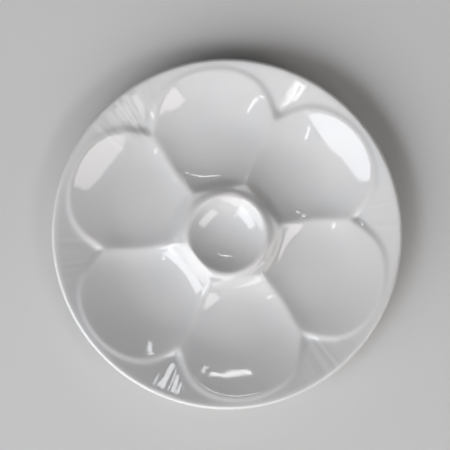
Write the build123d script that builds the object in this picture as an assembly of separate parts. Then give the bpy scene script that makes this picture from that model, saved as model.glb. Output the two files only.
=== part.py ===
from build123d import *
import math
import os

"""Porcelain mixing palette: a round plate with six swirled wells about one centre well.

The palette is one fired piece of porcelain.  It is written as two nodes that meet in a level
plane, because its surface is two materials: glazed_plate is everything under the clear glaze,
and bare_foot is the bottom of the foot ring, wiped bare of glaze before firing.
Millimetres, +Z up, origin on the table under the middle of the plate.
"""

os.makedirs("parts", exist_ok=True)

# ---- the plate ------------------------------------------------------------------------
RADIUS = 125.0                 # outside radius
RIM_HEIGHT = 22.0              # flat top of the lip above the table
RIM_INNER = 0.975 * RADIUS     # inside of the lip
RIM_ROLL = 2.4                 # rounding of the outer lip
RIM_BLEND = 0.3
LAND_SLOPE = 0.365             # fall of the small triangles of rim between the wells

# ---- the six outer wells ---------------------------------------------------------------
DISH_TOP = 25.6                # cone the wells are pressed from, where it passes RIM_INNER
DISH_SLOPE = 0.335
DISH_LOW = 11.2                # height it levels out at, towards the middle
DISH_BLEND = 2.5
WELLS = 6
FIRST_WELL = 39.6              # direction of the first well, degrees from +X
WELL_CENTRE = 0.607 * RADIUS
WELL_LENGTH = 0.357 * RADIUS   # half length along the radius
WELL_WIDTH = 0.342 * RADIUS    # half width across, at the centre
WELL_FLARE = 0.60 / RADIUS     # growth of the width towards the rim
WELL_DEPTH = 5.0               # below the dish
FLATNESS = 0.75                # flatter floor and steeper sides away from the rim
WELL_OFFSET = 0.013 * RADIUS   # clockwise lean of the well
SWIRL = 0.018 * RADIUS         # extra clockwise lean of the outer half
SWIRL_AT = 0.50 * RADIUS
SWIRL_SPAN = 0.09 * RADIUS

# ---- the low bead round the outer half of each well ---------------------------------------
EDGE_DROP = 2.1                # the bowl is this much shallower at the rim
BEAD_AT = 0.93                 # fraction of the well's outline where the bead's crest runs
BEAD_DROP = WELL_DEPTH - (WELL_DEPTH - EDGE_DROP) * BEAD_AT ** 2
FALL_SLOPE = 0.50              # outer side of the bead
BEAD_FADE = 3.0
BEAD_FROM = 0.70 * RADIUS      # the bead fades in about here
BEAD_SPAN = 0.07 * RADIUS

# ---- the raised collar and the centre well ------------------------------------------------
COLLAR_FOOT = [share * RADIUS for share in (0.345, 0.345, 0.345, 0.322, 0.345, 0.345)]
COLLAR_SLOPE = 0.76            # straight inner walls of the six wells
COLLAR_STEP = 0.8
COLLAR_BLEND = 2.4
COLLAR_CORNER = 0.8
CREST_HEIGHT = 17.2            # ring around the centre well
CREST_RADIUS = 0.235 * RADIUS
CREST_SLOPE = 0.62
CREST_BLEND = 0.6
CENTRE_FLOOR = 9.0
CENTRE_BOWL = 50.0             # radius of the sphere the centre well is pressed with

# ---- the underside -----------------------------------------------------------------------
WALL = 4.6                     # thickness of the wall, measured straight down
RIDGE_BLEND = 0.45             # softness of the ridges on top
INNER_BLEND = 0.45             # extra softness of the ridges towards the middle
UNDER_BLEND = 2.2              # the underside follows the wells more softly
FOOT_RADIUS = 66.0             # middle of the foot ring
FOOT_WIDTH = 4.6
FOOT_TOP = 5.2                 # hidden inside the wall
FOOT_DRAFT = 0.8
FOOT_EDGE = 0.7
GLAZE_LINE = 1.2               # the foot is wiped bare below this height

GRID = 101                     # sections across the plate
GRID_HALF = RADIUS + 1.0


def low_blend(values, blend):
    """Smallest of the values, rounded where two of them meet."""
    low = min(values)
    return low - blend * math.log(sum(math.exp((low - v) / blend) for v in values))


def high_blend(values, blend):
    """Largest of the values, rounded where two of them meet."""
    return -low_blend([-v for v in values], blend)


def dish(r):
    """Height of the dish that carries the wells: level in the middle, rising to the rim."""
    return high_blend([DISH_TOP + DISH_SLOPE * (r - RIM_INNER), DISH_LOW], DISH_BLEND)


def outwards(r):
    """0 near the collar, 1 near the rim: how much of the bead there is."""
    return 0.5 + 0.5 * math.tanh((r - BEAD_FROM) / BEAD_SPAN)


def well_axes(x, y, index):
    """Distance out along a well's own axis, and clockwise across it."""
    turn = math.radians(FIRST_WELL + index * 360.0 / WELLS)
    c, s = math.cos(turn), math.sin(turn)
    return x * c + y * s, x * s - y * c


def well_faces(x, y, index, ground):
    """Heights of a well's egg-shaped bowl and of the outer side of the bead around it."""
    u, v = well_axes(x, y, index)
    middle = WELL_OFFSET + SWIRL * math.tanh((u - SWIRL_AT) / SWIRL_SPAN)
    along = u - WELL_CENTRE
    width = WELL_WIDTH * math.exp(WELL_FLARE * max(along, -0.4 * RADIUS))
    out = min(math.hypot(along / WELL_LENGTH, (v - middle) / width), 1.4)
    lip = outwards(math.hypot(x, y))
    shape = out ** 2 - FLATNESS * (1 - lip) * (out ** 2 - out ** 4)
    bowl = ground - WELL_DEPTH + (WELL_DEPTH - EDGE_DROP * lip) * shape
    fall = BEAD_DROP + FALL_SLOPE * WELL_LENGTH * (out - BEAD_AT)
    return bowl, ground + BEAD_FADE * (1 - lip) - lip * fall


def inner_wall(x, y, index):
    """Straight wall that closes a well on the side of the collar."""
    u, _ = well_axes(x, y, index)
    return DISH_LOW - WELL_DEPTH + COLLAR_STEP + COLLAR_SLOPE * (COLLAR_FOOT[index] - u)


def surface(x, y, blend):
    """Height of the plate's upper form; blend sets how soft its ridges are."""
    r = math.hypot(x, y)
    ground = dish(r)
    bowls, beads = zip(*(well_faces(x, y, i, ground) for i in range(WELLS)))
    wells = low_blend(bowls, blend + INNER_BLEND * (1 - outwards(r)))
    collar = low_blend([inner_wall(x, y, i) for i in range(WELLS)], COLLAR_CORNER)
    pit = high_blend([wells, collar], COLLAR_BLEND)
    rim = low_blend([RIM_HEIGHT + LAND_SLOPE * (r - RIM_INNER), RIM_HEIGHT], RIM_BLEND)
    cone = CREST_HEIGHT - CREST_SLOPE * (r - CREST_RADIUS)
    crest = low_blend([CREST_HEIGHT, cone], CREST_BLEND)
    land = high_blend([rim, crest, high_blend(beads, blend)], blend)
    centre = CENTRE_FLOOR + CENTRE_BOWL - math.sqrt(CENTRE_BOWL ** 2 - min(r, 45.0) ** 2)
    return low_blend([low_blend([land, pit], blend), centre], blend)


def upper(x, y):
    return surface(x, y, RIDGE_BLEND)


def under(x, y):
    return surface(x, y, UNDER_BLEND) - WALL


def skin(height):
    """Smooth face through sections of a height field, square to X."""
    steps = [i / (GRID - 1) for i in range(GRID)]
    places = [GRID_HALF * (2 * s - 1) for s in steps]
    sections = []
    for x in places:
        points = [Vector(x, y, height(x, y)) for y in places]
        sections.append(Wire([Edge.make_spline(points, parameters=steps)]))
    return Shell.make_loft(sections).faces()[0]


def round_blank(radius, roll):
    """Round blank with a rolled edge; the plate's faces cut across it above and below."""
    middle = RIM_HEIGHT - WALL / 2
    edge = radius - roll
    inset = edge - 8
    profile = [
        Polyline((0, middle + 30), (inset, middle + 30), (inset, middle + roll + 6),
                 (edge, middle + roll)),
        ThreePointArc((edge, middle + roll), (radius, middle), (edge, middle - roll)),
        Polyline((edge, middle - roll), (inset, middle - roll - 6), (inset, -20),
                 (0, -20), (0, middle + 30)),
    ]
    return revolve(Plane.XZ * make_face(profile), Axis.Z, 360)


def plate():
    """The plate without its foot, cut round and rolled over at the rim."""
    below_top = Solid.extrude(skin(upper), Vector(0, 0, -60))
    below_bottom = Solid.extrude(skin(under), Vector(0, 0, -60))
    return ((round_blank(RADIUS, RIM_ROLL) & below_top) - below_bottom).solids()[0]


def foot_ring():
    """Ring the plate stands on; it widens a little upwards and ends inside the wall."""
    half = FOOT_WIDTH / 2
    corners = [(-half - FOOT_DRAFT, FOOT_TOP), (-half, FOOT_EDGE), (-half + FOOT_EDGE, 0),
               (half - FOOT_EDGE, 0), (half, FOOT_EDGE), (half + FOOT_DRAFT, FOOT_TOP)]
    profile = Polyline([(FOOT_RADIUS + x, z) for x, z in corners], close=True)
    return revolve(Plane.XZ * make_face(profile), Axis.Z, 360)


def node(shape, name):
    """Writes the one solid of a node to its own file."""
    export_step(shape.solids()[0], f"parts/{name}.step")


glaze_line = Plane.XY.offset(GLAZE_LINE)
ring = foot_ring()
node(plate() + ring.split(glaze_line, keep=Keep.TOP), "glazed_plate")
node(ring.split(glaze_line, keep=Keep.BOTTOM), "bare_foot")
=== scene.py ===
"""Looks for the porcelain mixing palette: the glazed plate, its bare foot, floor, lights, camera."""

import math

import bpy
import numpy as np
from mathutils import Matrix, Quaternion, Vector


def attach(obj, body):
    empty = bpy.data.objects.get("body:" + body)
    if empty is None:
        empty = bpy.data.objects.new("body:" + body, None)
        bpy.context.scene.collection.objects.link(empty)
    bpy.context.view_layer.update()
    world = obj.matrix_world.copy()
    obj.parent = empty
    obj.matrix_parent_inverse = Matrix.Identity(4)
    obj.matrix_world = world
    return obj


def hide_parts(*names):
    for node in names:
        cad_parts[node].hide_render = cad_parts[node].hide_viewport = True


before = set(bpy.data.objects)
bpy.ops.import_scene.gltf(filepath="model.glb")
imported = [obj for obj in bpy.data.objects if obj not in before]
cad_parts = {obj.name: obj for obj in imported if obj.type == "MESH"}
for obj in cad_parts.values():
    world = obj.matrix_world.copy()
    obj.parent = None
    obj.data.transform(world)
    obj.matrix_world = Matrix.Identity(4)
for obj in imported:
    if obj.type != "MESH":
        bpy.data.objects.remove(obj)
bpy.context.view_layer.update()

MM = 0.001

# ---- form of the palette, millimetres: the same numbers as the CAD ------------------------
RADIUS = 125.0
RIM_HEIGHT = 22.0
RIM_INNER = 0.975 * RADIUS
RIM_BLEND = 0.3
DISH_LOW = 11.2
LAND_SLOPE = 0.365
DISH_TOP = 25.6
DISH_SLOPE = 0.335
DISH_BLEND = 2.5
WELLS = 6
FIRST_WELL = 39.6
WELL_CENTRE = 0.607 * RADIUS
WELL_LENGTH = 0.357 * RADIUS
WELL_WIDTH = 0.342 * RADIUS
WELL_FLARE = 0.60 / RADIUS
WELL_DEPTH = 5.0
FLATNESS = 0.75              # flatter floor, steeper sides, away from the rim
WELL_OFFSET = 0.013 * RADIUS
SWIRL = 0.018 * RADIUS
SWIRL_AT = 0.50 * RADIUS
SWIRL_SPAN = 0.09 * RADIUS
EDGE_DROP = 2.1
FALL_SLOPE = 0.50
BEAD_AT = 0.93
BEAD_DROP = WELL_DEPTH - (WELL_DEPTH - EDGE_DROP) * BEAD_AT**2
BEAD_FADE = 3.0
COLLAR_FOOT = [share * RADIUS for share in (0.345, 0.345, 0.345, 0.322, 0.345, 0.345)]
COLLAR_SLOPE = 0.76
COLLAR_STEP = 0.8
COLLAR_CORNER = 0.8
CREST_HEIGHT = 17.2
CREST_RADIUS = 0.235 * RADIUS
CREST_SLOPE = 0.62
CREST_BLEND = 0.6
CENTRE_FLOOR = 9.0
CENTRE_BOWL = 50.0          # radius of the sphere the centre well is pressed with
CENTRE_LIMIT = 45.0         # the sphere is only worked out this far from the middle
WALL = 4.6
RIDGE_BLEND = 0.45
INNER_BLEND = 0.45          # ridges are softer towards the middle
BEAD_FROM = 0.70 * RADIUS
BEAD_SPAN = 0.07 * RADIUS
UNDER_BLEND = 2.2
FOOT_RADIUS = 66.0
FOOT_HALF = 2.3
FOOT_TOP = 5.2
FOOT_DRAFT = 0.8
FOOT_EDGE = 0.7
GLAZE_LINE = 1.2

# ---- where the looks depart from the CAD --------------------------------------------------
COLLAR_BLEND = 0.5          # tighter bend at the foot of the collar
FILLET_SHARE = 0.21         # glaze pools along the foot of the collar as an even slope
FILLET_RISE = 1.1
LIP_ROLL = 2.3              # radius of the rounded outer lip
TOP_CLEARANCE = 0.03        # the waves and marks are cut off this much below RIM_HEIGHT
SLOW_WAVES = dict(seed=11, slope=0.005, shortest=16, longest=60)
FINE_WAVES = dict(seed=23, slope=0.0024, shortest=6, longest=14)
UNDER_WAVES = dict(seed=12, slope=0.012, shortest=18, longest=70)
TRIANGLE_STEP = 360.0 / WELLS
TRIANGLE_SPREAD = 9.0       # reach of the marks to each side of a triangle's middle, degrees
TRIANGLE_SHIFT = 0.08 * RADIUS     # the marks fade in this much further out than the beads
FLUTE_SLOPE = 0.045         # steepness of the throwing marks
FLUTE_TWIST = 0.05          # turn of the throwing marks along the radius, radians per mm
FLUTE_COUNTS = (53, 71, 97, 131, 173)
FLUTES = (0.1, 1.9, 0.6, 0.3, 0.7, 0.5)         # strength of the marks on each rim triangle
LEANS = (0.0, 0.010, 0.0, 0.018, 0.0, 0.0)      # extra slope of each rim triangle
LEAN_FROM = 0.89 * RADIUS   # radius at which a leaning triangle keeps its height
POOL_AND_SHADE_GAIN = 4.0             # how fast the glaze deepens, and its painted shade darkens, with the hollowness of the form
LIP_POOL = 0.25             # the glaze is thin on the lip
WARP_FROM = 80.0            # the out-of-roundness grows from this radius to the lip

# ---- the meshes ---------------------------------------------------------------------------
TURNS = 720                 # points round the plate
TOP_RINGS = 240             # rings from the middle to the lip
MIDDLE_RING = 1.2           # radius of the innermost ring
LIP_RINGS = 20              # rings round the lip
OUTER_RINGS = 75            # rings of the underside outside the foot
INNER_RINGS = 60            # rings of the underside inside the foot
FOOT_MARGIN = 7.0           # the rings are closer together within this of the foot's middle
FOOT_OFFSETS = [*np.linspace(6.5, 3.4, 12), *np.linspace(3.2, 2.45, 16)]
UNDER_FOOT_BLEND = 0.45     # softness where the foot meets the underside


def low_blend(values, blend):
    """Smallest of the surfaces, rounded where two of them meet."""
    values = np.stack(np.broadcast_arrays(*values))
    low = values.min(0)
    return low - blend * np.log(np.exp((low - values) / blend).sum(0))


def high_blend(values, blend):
    """Largest of the surfaces, rounded where two of them meet."""
    return -low_blend([-np.asarray(v) for v in values], blend)


def dish(r):
    """Height of the dish that carries the wells."""
    return high_blend([DISH_TOP + DISH_SLOPE * (r - RIM_INNER), DISH_LOW], DISH_BLEND)


def well_axes(x, y, index):
    """Distance out along a well's own axis, and clockwise across it."""
    turn = math.radians(FIRST_WELL + index * 360.0 / WELLS)
    c, s = math.cos(turn), math.sin(turn)
    return x * c + y * s, x * s - y * c


def outwards(r):
    """0 near the collar, 1 near the rim: how much of the lip a well's edge has."""
    return 0.5 + 0.5 * np.tanh((r - BEAD_FROM) / BEAD_SPAN)


def well_faces(x, y, index, ground):
    """Heights of a well's bowl and of the outer side of the low bead around it."""
    u, v = well_axes(x, y, index)
    middle = WELL_OFFSET + SWIRL * np.tanh((u - SWIRL_AT) / SWIRL_SPAN)
    along = u - WELL_CENTRE
    width = WELL_WIDTH * np.exp(WELL_FLARE * np.maximum(along, -0.4 * RADIUS))
    out = np.minimum(np.hypot(along / WELL_LENGTH, (v - middle) / width), 1.4)
    lip = outwards(np.hypot(x, y))
    shape = out**2 - FLATNESS * (1 - lip) * (out**2 - out**4)
    bowl = ground - WELL_DEPTH + (WELL_DEPTH - EDGE_DROP * lip) * shape
    fall = BEAD_DROP + FALL_SLOPE * WELL_LENGTH * (out - BEAD_AT)
    return bowl, ground + BEAD_FADE * (1 - lip) - lip * fall


def inner_wall(x, y, index):
    """Straight wall that closes a well on the side of the collar."""
    u, _ = well_axes(x, y, index)
    return DISH_LOW - WELL_DEPTH + COLLAR_STEP + COLLAR_SLOPE * (COLLAR_FOOT[index] - u)


def surface(x, y, blend):
    """Height of the plate's upper form; blend sets how soft its ridges are."""
    r = np.hypot(x, y)
    ground = dish(r)
    bowls, beads = zip(*(well_faces(x, y, i, ground) for i in range(WELLS)))
    wells = low_blend(bowls, blend + INNER_BLEND * (1 - outwards(r)))
    collar = low_blend([inner_wall(x, y, i) for i in range(WELLS)], COLLAR_CORNER)
    fillet = (1 - FILLET_SHARE) * wells + FILLET_SHARE * collar + FILLET_RISE
    pit = high_blend([wells, fillet, collar], COLLAR_BLEND)
    rim = low_blend([RIM_HEIGHT + LAND_SLOPE * (r - RIM_INNER), RIM_HEIGHT], RIM_BLEND)
    cone = CREST_HEIGHT - CREST_SLOPE * (r - CREST_RADIUS)
    crest = low_blend([CREST_HEIGHT, cone], CREST_BLEND)
    land = high_blend([rim, crest, high_blend(beads, blend)], blend)
    centre = CENTRE_FLOOR + CENTRE_BOWL - np.sqrt(CENTRE_BOWL**2 - np.minimum(r, CENTRE_LIMIT) ** 2)
    return low_blend([low_blend([land, pit], blend), centre], blend)


def waves(x, y, seed, slope, shortest, longest, count=22):
    """Slow unevenness of fired clay: a sum of plane waves with the given rms slope."""
    rng = np.random.default_rng(seed)
    total = np.zeros_like(x)
    for _ in range(count):
        length = math.exp(rng.uniform(math.log(shortest), math.log(longest)))
        turn, phase = rng.uniform(0, 2 * math.pi, 2)
        k = 2 * math.pi / length
        total += np.sin(k * (x * math.cos(turn) + y * math.sin(turn)) + phase) / k
    return total * slope * math.sqrt(2.0 / count)


def on_triangles(x, y, shares):
    """Weight that is one in the middle of each rim triangle, times that triangle's share."""
    turn = np.degrees(np.arctan2(y, x)) - FIRST_WELL - TRIANGLE_STEP / 2
    index = np.round(turn / TRIANGLE_STEP)
    away = turn - index * TRIANGLE_STEP
    fade = np.exp(-(away / TRIANGLE_SPREAD) ** 2) * outwards(np.hypot(x, y) - TRIANGLE_SHIFT)
    return fade * np.array(shares)[index.astype(int) % WELLS]


def flutes(x, y):
    """Faint radial throwing marks on the triangles of rim between the wells."""
    r, turn = np.hypot(x, y), np.arctan2(y, x)
    rng = np.random.default_rng(5)
    total = sum(np.sin(n * turn + FLUTE_TWIST * r + rng.uniform(0, 6.28)) / n for n in FLUTE_COUNTS)
    return on_triangles(x, y, FLUTES) * total * FLUTE_SLOPE * RADIUS


def lean(x, y):
    """Some of the rim triangles lean in slightly more than the rest."""
    return on_triangles(x, y, LEANS) * (np.hypot(x, y) - LEAN_FROM)


def upper(x, y):
    """Height of the glazed top."""
    z = surface(x, y, RIDGE_BLEND) + waves(x, y, **SLOW_WAVES) + waves(x, y, **FINE_WAVES)
    z = z + flutes(x, y) + lean(x, y)
    return np.minimum(z, RIM_HEIGHT - TOP_CLEARANCE)


def foot_side(r):
    """Height of the foot ring's drafted side at a radius."""
    run = np.abs(r - FOOT_RADIUS) - FOOT_HALF
    return FOOT_EDGE + run * (FOOT_TOP - FOOT_EDGE) / FOOT_DRAFT


def under(x, y):
    """Height of the glazed underside, the foot ring's glazed sides included."""
    z = surface(x, y, UNDER_BLEND) - WALL + waves(x, y, **UNDER_WAVES)
    return low_blend([z, foot_side(np.hypot(x, y))], UNDER_FOOT_BLEND)


def grid_mesh(name, rings, closed_ends):
    """Mesh through rings of TURNS points; its ends close in single points or meet each other."""
    verts = np.concatenate(rings)
    n, m = len(rings), TURNS
    i = np.arange(n - 1)[:, None] * m
    a = i + np.arange(m)[None, :]
    b = i + (np.arange(m)[None, :] + 1) % m
    quads = np.stack([a, a + m, b + m, b], -1).reshape(-1, 4)
    faces = quads.tolist()
    e = (n - 1) * m
    if closed_ends:
        first, last = len(verts), len(verts) + 1
        verts = np.concatenate([verts, [rings[0].mean(0), rings[-1].mean(0)]])
        faces += [[first, j, (j + 1) % m] for j in range(m)]
        faces += [[last, e + (j + 1) % m, e + j] for j in range(m)]
    else:
        faces += [[e + j, j, (j + 1) % m, e + (j + 1) % m] for j in range(m)]
    mesh = bpy.data.meshes.new(name)
    mesh.from_pydata((verts * MM).tolist(), [], faces)
    mesh.update()
    mesh.polygons.foreach_set("use_smooth", [True] * len(mesh.polygons))
    obj = bpy.data.objects.new(name, mesh)
    bpy.context.scene.collection.objects.link(obj)
    return obj, verts


ANGLES = np.arange(TURNS) * 2 * math.pi / TURNS
COS, SIN = np.cos(ANGLES), np.sin(ANGLES)


def ring_at(r, height):
    """Ring of points at a radius; height is a number or a function of x and y."""
    x, y = r * COS, r * SIN
    return np.stack([x, y, height(x, y) if callable(height) else np.broadcast_to(height, x.shape)], 1)


def warp(ring):
    """Slight out-of-roundness from the kiln."""
    x, y = ring[:, 0], ring[:, 1]
    turn = np.arctan2(y, x)
    shrink = 0.0007 * (1 + np.sin(2 * turn + 0.7)) + 0.0003 * (1 + np.sin(5 * turn + 2.1))
    out = np.clip((np.hypot(x, y) - WARP_FROM) / (RADIUS - WARP_FROM), 0, 1)
    ring[:, 0] -= x * shrink * out
    ring[:, 1] -= y * shrink * out
    return ring


def glaze_line():
    """Height of the wiped edge of the glaze, wavering up to 0.2 mm below GLAZE_LINE."""
    return GLAZE_LINE - 0.1 + 0.06 * np.sin(7 * ANGLES + 1) + 0.04 * np.sin(19 * ANGLES)


def foot_edge_radius(side):
    """Radius of the wiped edge on the outer (1) or inner (-1) side of the foot."""
    run = FOOT_HALF + FOOT_DRAFT * (glaze_line() - FOOT_EDGE) / (FOOT_TOP - FOOT_EDGE)
    return FOOT_RADIUS + side * run


def lip_rings(edge, top):
    """Rings round the outer lip, from the top down to the underside."""
    low = ring_at(edge, under)[:, 2]
    middle, half = (top + low) / 2, (top - low) / 2
    rings = []
    for t in np.linspace(0, math.pi, LIP_RINGS + 2)[1:-1]:
        ring = ring_at(edge + LIP_ROLL * math.sin(t), 0.0)
        ring[:, 2] = middle + half * math.cos(t)
        rings.append(ring)
    return rings


def plate_rings():
    """Rings of the glazed plate, from the middle of the top to the middle of the underside."""
    edge = RADIUS - LIP_ROLL
    rings = [ring_at(r, upper) for r in np.linspace(MIDDLE_RING, edge, TOP_RINGS)]
    rings += lip_rings(edge, rings[-1][:, 2])
    outer = np.linspace(edge, FOOT_RADIUS + FOOT_MARGIN, OUTER_RINGS)
    rings += [ring_at(r, under) for r in [*outer, *(FOOT_RADIUS + o for o in FOOT_OFFSETS)]]
    line = glaze_line()
    for side in (1, -1):
        r = foot_edge_radius(side)
        rings.append(np.stack([r * COS, r * SIN, line], 1))
    inner = np.linspace(FOOT_RADIUS - FOOT_MARGIN, MIDDLE_RING, INNER_RINGS)
    rings += [ring_at(r, under) for r in [*(FOOT_RADIUS - o for o in FOOT_OFFSETS[::-1]), *inner]]
    return [warp(ring) for ring in rings]


def foot_rings():
    """Closed ring of bare porcelain: level top, drafted sides, softly rounded bottom."""
    line = glaze_line()
    rings = []
    for side in (1, -1):
        r = foot_edge_radius(side)
        part = [np.stack([r * COS, r * SIN, line], 1)]
        for t in np.linspace(0, math.pi / 2, 9):
            rr = FOOT_RADIUS + side * (FOOT_HALF - FOOT_EDGE * (1 - math.cos(t)))
            part.append(ring_at(rr, FOOT_EDGE * (1 - math.sin(t))))
        rings += part if side == 1 else part[::-1]
    return rings


def new_material(name):
    """Material with its node tree, links and main shader."""
    mat = bpy.data.materials.new(name)
    mat.use_nodes = True
    nodes, links = mat.node_tree.nodes, mat.node_tree.links
    return mat, nodes, links, nodes["Principled BSDF"]


def noise(nodes, links, coords, scale, detail=2.0):
    """Noise of a given scale over the object."""
    node = nodes.new("ShaderNodeTexNoise")
    node.inputs["Scale"].default_value = scale
    node.inputs["Detail"].default_value = detail
    links.new(coords, node.inputs["Vector"])
    return node.outputs["Fac"]


def ramp(nodes, links, source, stops):
    """Colour that runs through the stops as the source goes from 0 to 1."""
    node = nodes.new("ShaderNodeValToRGB")
    links.new(source, node.inputs["Fac"])
    elements = node.color_ramp.elements
    while len(elements) < len(stops):
        elements.new(0.5)
    for element, (place, colour) in zip(elements, stops):
        element.position = place
        element.color = (*colour, 1)
    return node.outputs["Color"]


def mix(nodes, links, factor, a, b, blend="MIX"):
    """Mix of two colours; the factor and the colours are values or sockets."""
    node = nodes.new("ShaderNodeMix")
    node.data_type = "RGBA"
    node.blend_type = blend
    for socket, value in ((node.inputs["Factor"], factor), (node.inputs[6], a), (node.inputs[7], b)):
        if isinstance(value, bpy.types.NodeSocket):
            links.new(value, socket)
        else:
            socket.default_value = value
    return node.outputs[2]


def glaze_material():
    """Clear gloss glaze over white porcelain: a pooled tone that also paints shade into the hollows,
    faint clouds, a few specks.
    """
    mat, nodes, links, shader = new_material("glazed_porcelain")
    coords = nodes.new("ShaderNodeTexCoord").outputs["Object"]
    pool_and_shade_attribute = nodes.new("ShaderNodeAttribute")
    pool_and_shade_attribute.attribute_name = "pooled_glaze_and_shade"
    # pooled glaze tone, darker and bluer in the hollows and creases, where it is painted shade as
    # well; lighter where the glaze is thin on crests
    pool_and_shade_tones = [(0.0, (0.74, 0.73, 0.715)), (0.5, (0.705, 0.707, 0.705)), (1.0, (0.60, 0.622, 0.628))]
    tone = ramp(nodes, links, pool_and_shade_attribute.outputs["Fac"], pool_and_shade_tones)
    cloud = noise(nodes, links, coords, 28, 3)
    veil = ramp(nodes, links, cloud, [(0.35, (0.97, 0.98, 0.985)), (0.65, (1.0, 0.995, 0.985))])
    tone = mix(nodes, links, 1.0, tone, veil, "MULTIPLY")
    speck = nodes.new("ShaderNodeTexVoronoi")
    speck.inputs["Scale"].default_value = 55
    links.new(coords, speck.inputs["Vector"])
    dots = ramp(nodes, links, speck.outputs["Distance"], [(0.010, (1, 1, 1)), (0.016, (0, 0, 0))])
    tone = mix(nodes, links, dots, tone, (0.52, 0.49, 0.45, 1))
    links.new(tone, shader.inputs["Base Color"])
    shader.inputs["Roughness"].default_value = 0.055
    shader.inputs["IOR"].default_value = 1.52
    peel = noise(nodes, links, coords, 420, 2)
    bump = nodes.new("ShaderNodeBump")
    bump.inputs["Strength"].default_value = 0.12
    bump.inputs["Distance"].default_value = 0.00004
    links.new(peel, bump.inputs["Height"])
    links.new(bump.outputs["Normal"], shader.inputs["Normal"])
    return mat


def bisque_material():
    """Bare fired porcelain: matt, speckled and slightly stained."""
    mat, nodes, links, shader = new_material("bare_porcelain")
    coords = nodes.new("ShaderNodeTexCoord").outputs["Object"]
    grain = noise(nodes, links, coords, 900, 6)
    stain = noise(nodes, links, coords, 45, 4)
    tone = ramp(nodes, links, stain, [(0.3, (0.66, 0.62, 0.55)), (0.7, (0.78, 0.75, 0.70))])
    speckle = ramp(nodes, links, grain, [(0.35, (0.86, 0.84, 0.82)), (0.6, (1, 1, 1))])
    links.new(mix(nodes, links, 1.0, tone, speckle, "MULTIPLY"), shader.inputs["Base Color"])
    shader.inputs["Roughness"].default_value = 0.85
    bump = nodes.new("ShaderNodeBump")
    bump.inputs["Strength"].default_value = 0.6
    bump.inputs["Distance"].default_value = 0.00012
    links.new(grain, bump.inputs["Height"])
    links.new(bump.outputs["Normal"], shader.inputs["Normal"])
    return mat


def pooled_glaze_and_shade(obj, verts):
    """Stores where the glaze pools and its tone paints shade into the hollows: 0 on sharp crests, 0.5
    on open faces, 1 in the hollows.
    """
    x, y = verts[:, 0], verts[:, 1]
    step = 1.6
    above = surface(x, y, RIDGE_BLEND)
    around = sum(surface(x + dx, y + dy, RIDGE_BLEND) for dx, dy in
                 ((step, 0), (-step, 0), (0, step), (0, -step))) / 4
    bend = (around - above) / step**2
    # hollows and creases score high: the glaze pools there and is coloured darker, a painted shade
    pool_and_shade = np.clip(0.5 + bend * POOL_AND_SHADE_GAIN, 0, 1)
    pool_and_shade[np.hypot(x, y) > RADIUS - LIP_ROLL] = LIP_POOL
    layer = obj.data.attributes.new("pooled_glaze_and_shade", "FLOAT", "POINT")
    layer.data.foreach_set("value", pool_and_shade.astype(np.float32))


def add_palette():
    """The glazed plate and its bare foot, in the place of the CAD's nodes."""
    plate, verts = grid_mesh("glazed_plate_form", plate_rings(), True)
    pooled_glaze_and_shade(plate, verts)
    plate.data.materials.append(glaze_material())
    foot, _ = grid_mesh("bare_foot_form", foot_rings(), False)
    foot.data.materials.append(bisque_material())
    for piece, node, slot in ((plate, "glazed_plate", "glaze"), (foot, "bare_foot", "bisque")):
        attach(piece, "root")
        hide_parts(node)


def add_floor():
    """Pale round sweep: a level floor that curves up into a low backdrop."""
    profile = [(0.01, 0), (2.2, 0), (2.45, 0.012), (2.65, 0.045), (2.82, 0.11), (2.94, 0.22),
               (3.0, 0.36), (3.0, 0.42)]
    turns = 96
    verts, faces = [], []
    for r, z in profile:
        for j in range(turns):
            t = 2 * math.pi * j / turns
            verts.append((r * math.cos(t), r * math.sin(t), z))
    for i in range(len(profile) - 1):
        for j in range(turns):
            k = (j + 1) % turns
            here, beyond = i * turns, (i + 1) * turns
            faces.append((here + j, beyond + j, beyond + k, here + k))
    faces.append(tuple(range(turns)))
    mesh = bpy.data.meshes.new("floor")
    mesh.from_pydata(verts, [], faces)
    mesh.polygons.foreach_set("use_smooth", [True] * len(mesh.polygons))
    floor = bpy.data.objects.new("floor", mesh)
    bpy.context.scene.collection.objects.link(floor)
    mat, _, _, shader = new_material("floor")
    shader.inputs["Base Color"].default_value = (0.67, 0.67, 0.66, 1)
    shader.inputs["Roughness"].default_value = 1.0
    shader.inputs["Specular IOR Level"].default_value = 0.1
    mesh.materials.append(mat)


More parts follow.
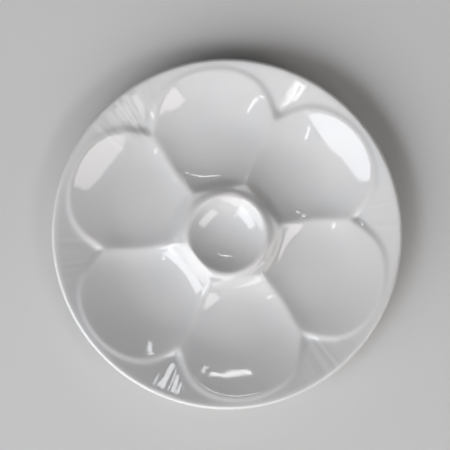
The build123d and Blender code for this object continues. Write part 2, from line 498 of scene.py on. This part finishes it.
def area_light(name, azimuth, zenith, distance, width, height, radiance, colour=(1, 1, 1), roll=0):
    """Rectangular soft light aimed at the palette; radiance sets how bright it looks.

    Azimuth, zenith and roll are in degrees, distance, width and height in metres.
    """
    a, t = math.radians(azimuth), math.radians(zenith)
    towards = Vector((math.cos(a) * math.sin(t), math.sin(a) * math.sin(t), math.cos(t)))
    data = bpy.data.lights.new(name, "AREA")
    data.shape = "RECTANGLE"
    data.size, data.size_y = width, height
    data.energy = radiance * math.pi * width * height
    data.color = colour
    light = bpy.data.objects.new(name, data)
    light.location = towards * distance
    light.rotation_mode = "QUATERNION"
    spin = Quaternion((0, 0, 1), math.radians(roll))
    light.rotation_quaternion = towards.to_track_quat("Z", "Y") @ spin
    bpy.context.scene.collection.objects.link(light)


def add_lights():
    """Soft panels for two windows, a lamp and the room; the under_ ones need the floor hidden."""
    area_light("window", 221, 41.0, 2.0, 1.22, 0.47, 5.8, (0.925, 0.945, 1.0), roll=-3)
    area_light("pane_right", 244.0, 32.6, 2.0, 0.052, 0.17, 9.0)
    area_light("low_warm", 335, 67, 6.0, 2.40, 1.20, 2.5, (1.0, 0.97, 0.90))
    area_light("warm_window", 320, 40.8, 2.0, 1.12, 0.45, 4.3, (1.0, 0.945, 0.935), roll=-5)
    area_light("wall_glow", 272, 42, 2.1, 0.95, 0.55, 0.5, (1.0, 0.96, 0.98))
    area_light("lamp", 88, 35.2, 2.0, 0.56, 0.058, 13.0, roll=-3)
    area_light("lamp_end", 68.8, 34.2, 2.0, 0.09, 0.10, 9.5, (0.95, 0.98, 1.0))
    area_light("fill", 233, 66, 7.5, 13.0, 5.2, 3.7, (0.99, 0.985, 1.0))
    area_light("under_key", 205, 140, 2.0, 1.2, 1.2, 4.0)
    area_light("under_fill", 40, 118, 2.0, 1.6, 0.8, 1.5)
    world = bpy.data.worlds.new("studio")
    world.use_nodes = True
    background = world.node_tree.nodes["Background"]
    background.inputs["Color"].default_value = (1.0, 0.99, 0.99, 1)
    background.inputs["Strength"].default_value = 0.03
    bpy.context.scene.world = world


def add_camera():
    """Camera straight above the palette; view_width is what it sees at the rim's height."""
    height, view_width = 1.4, 0.3198
    data = bpy.data.cameras.new("camera")
    data.sensor_width = 36
    data.lens = data.sensor_width * height / view_width
    camera = bpy.data.objects.new("camera", data)
    camera.location = (-0.0015, 0.0065, height + RIM_HEIGHT * MM)
    bpy.context.scene.collection.objects.link(camera)
    bpy.context.scene.camera = camera


add_palette()
add_floor()
add_lights()
add_camera()
bpy.context.scene.view_settings.view_transform = "Standard"
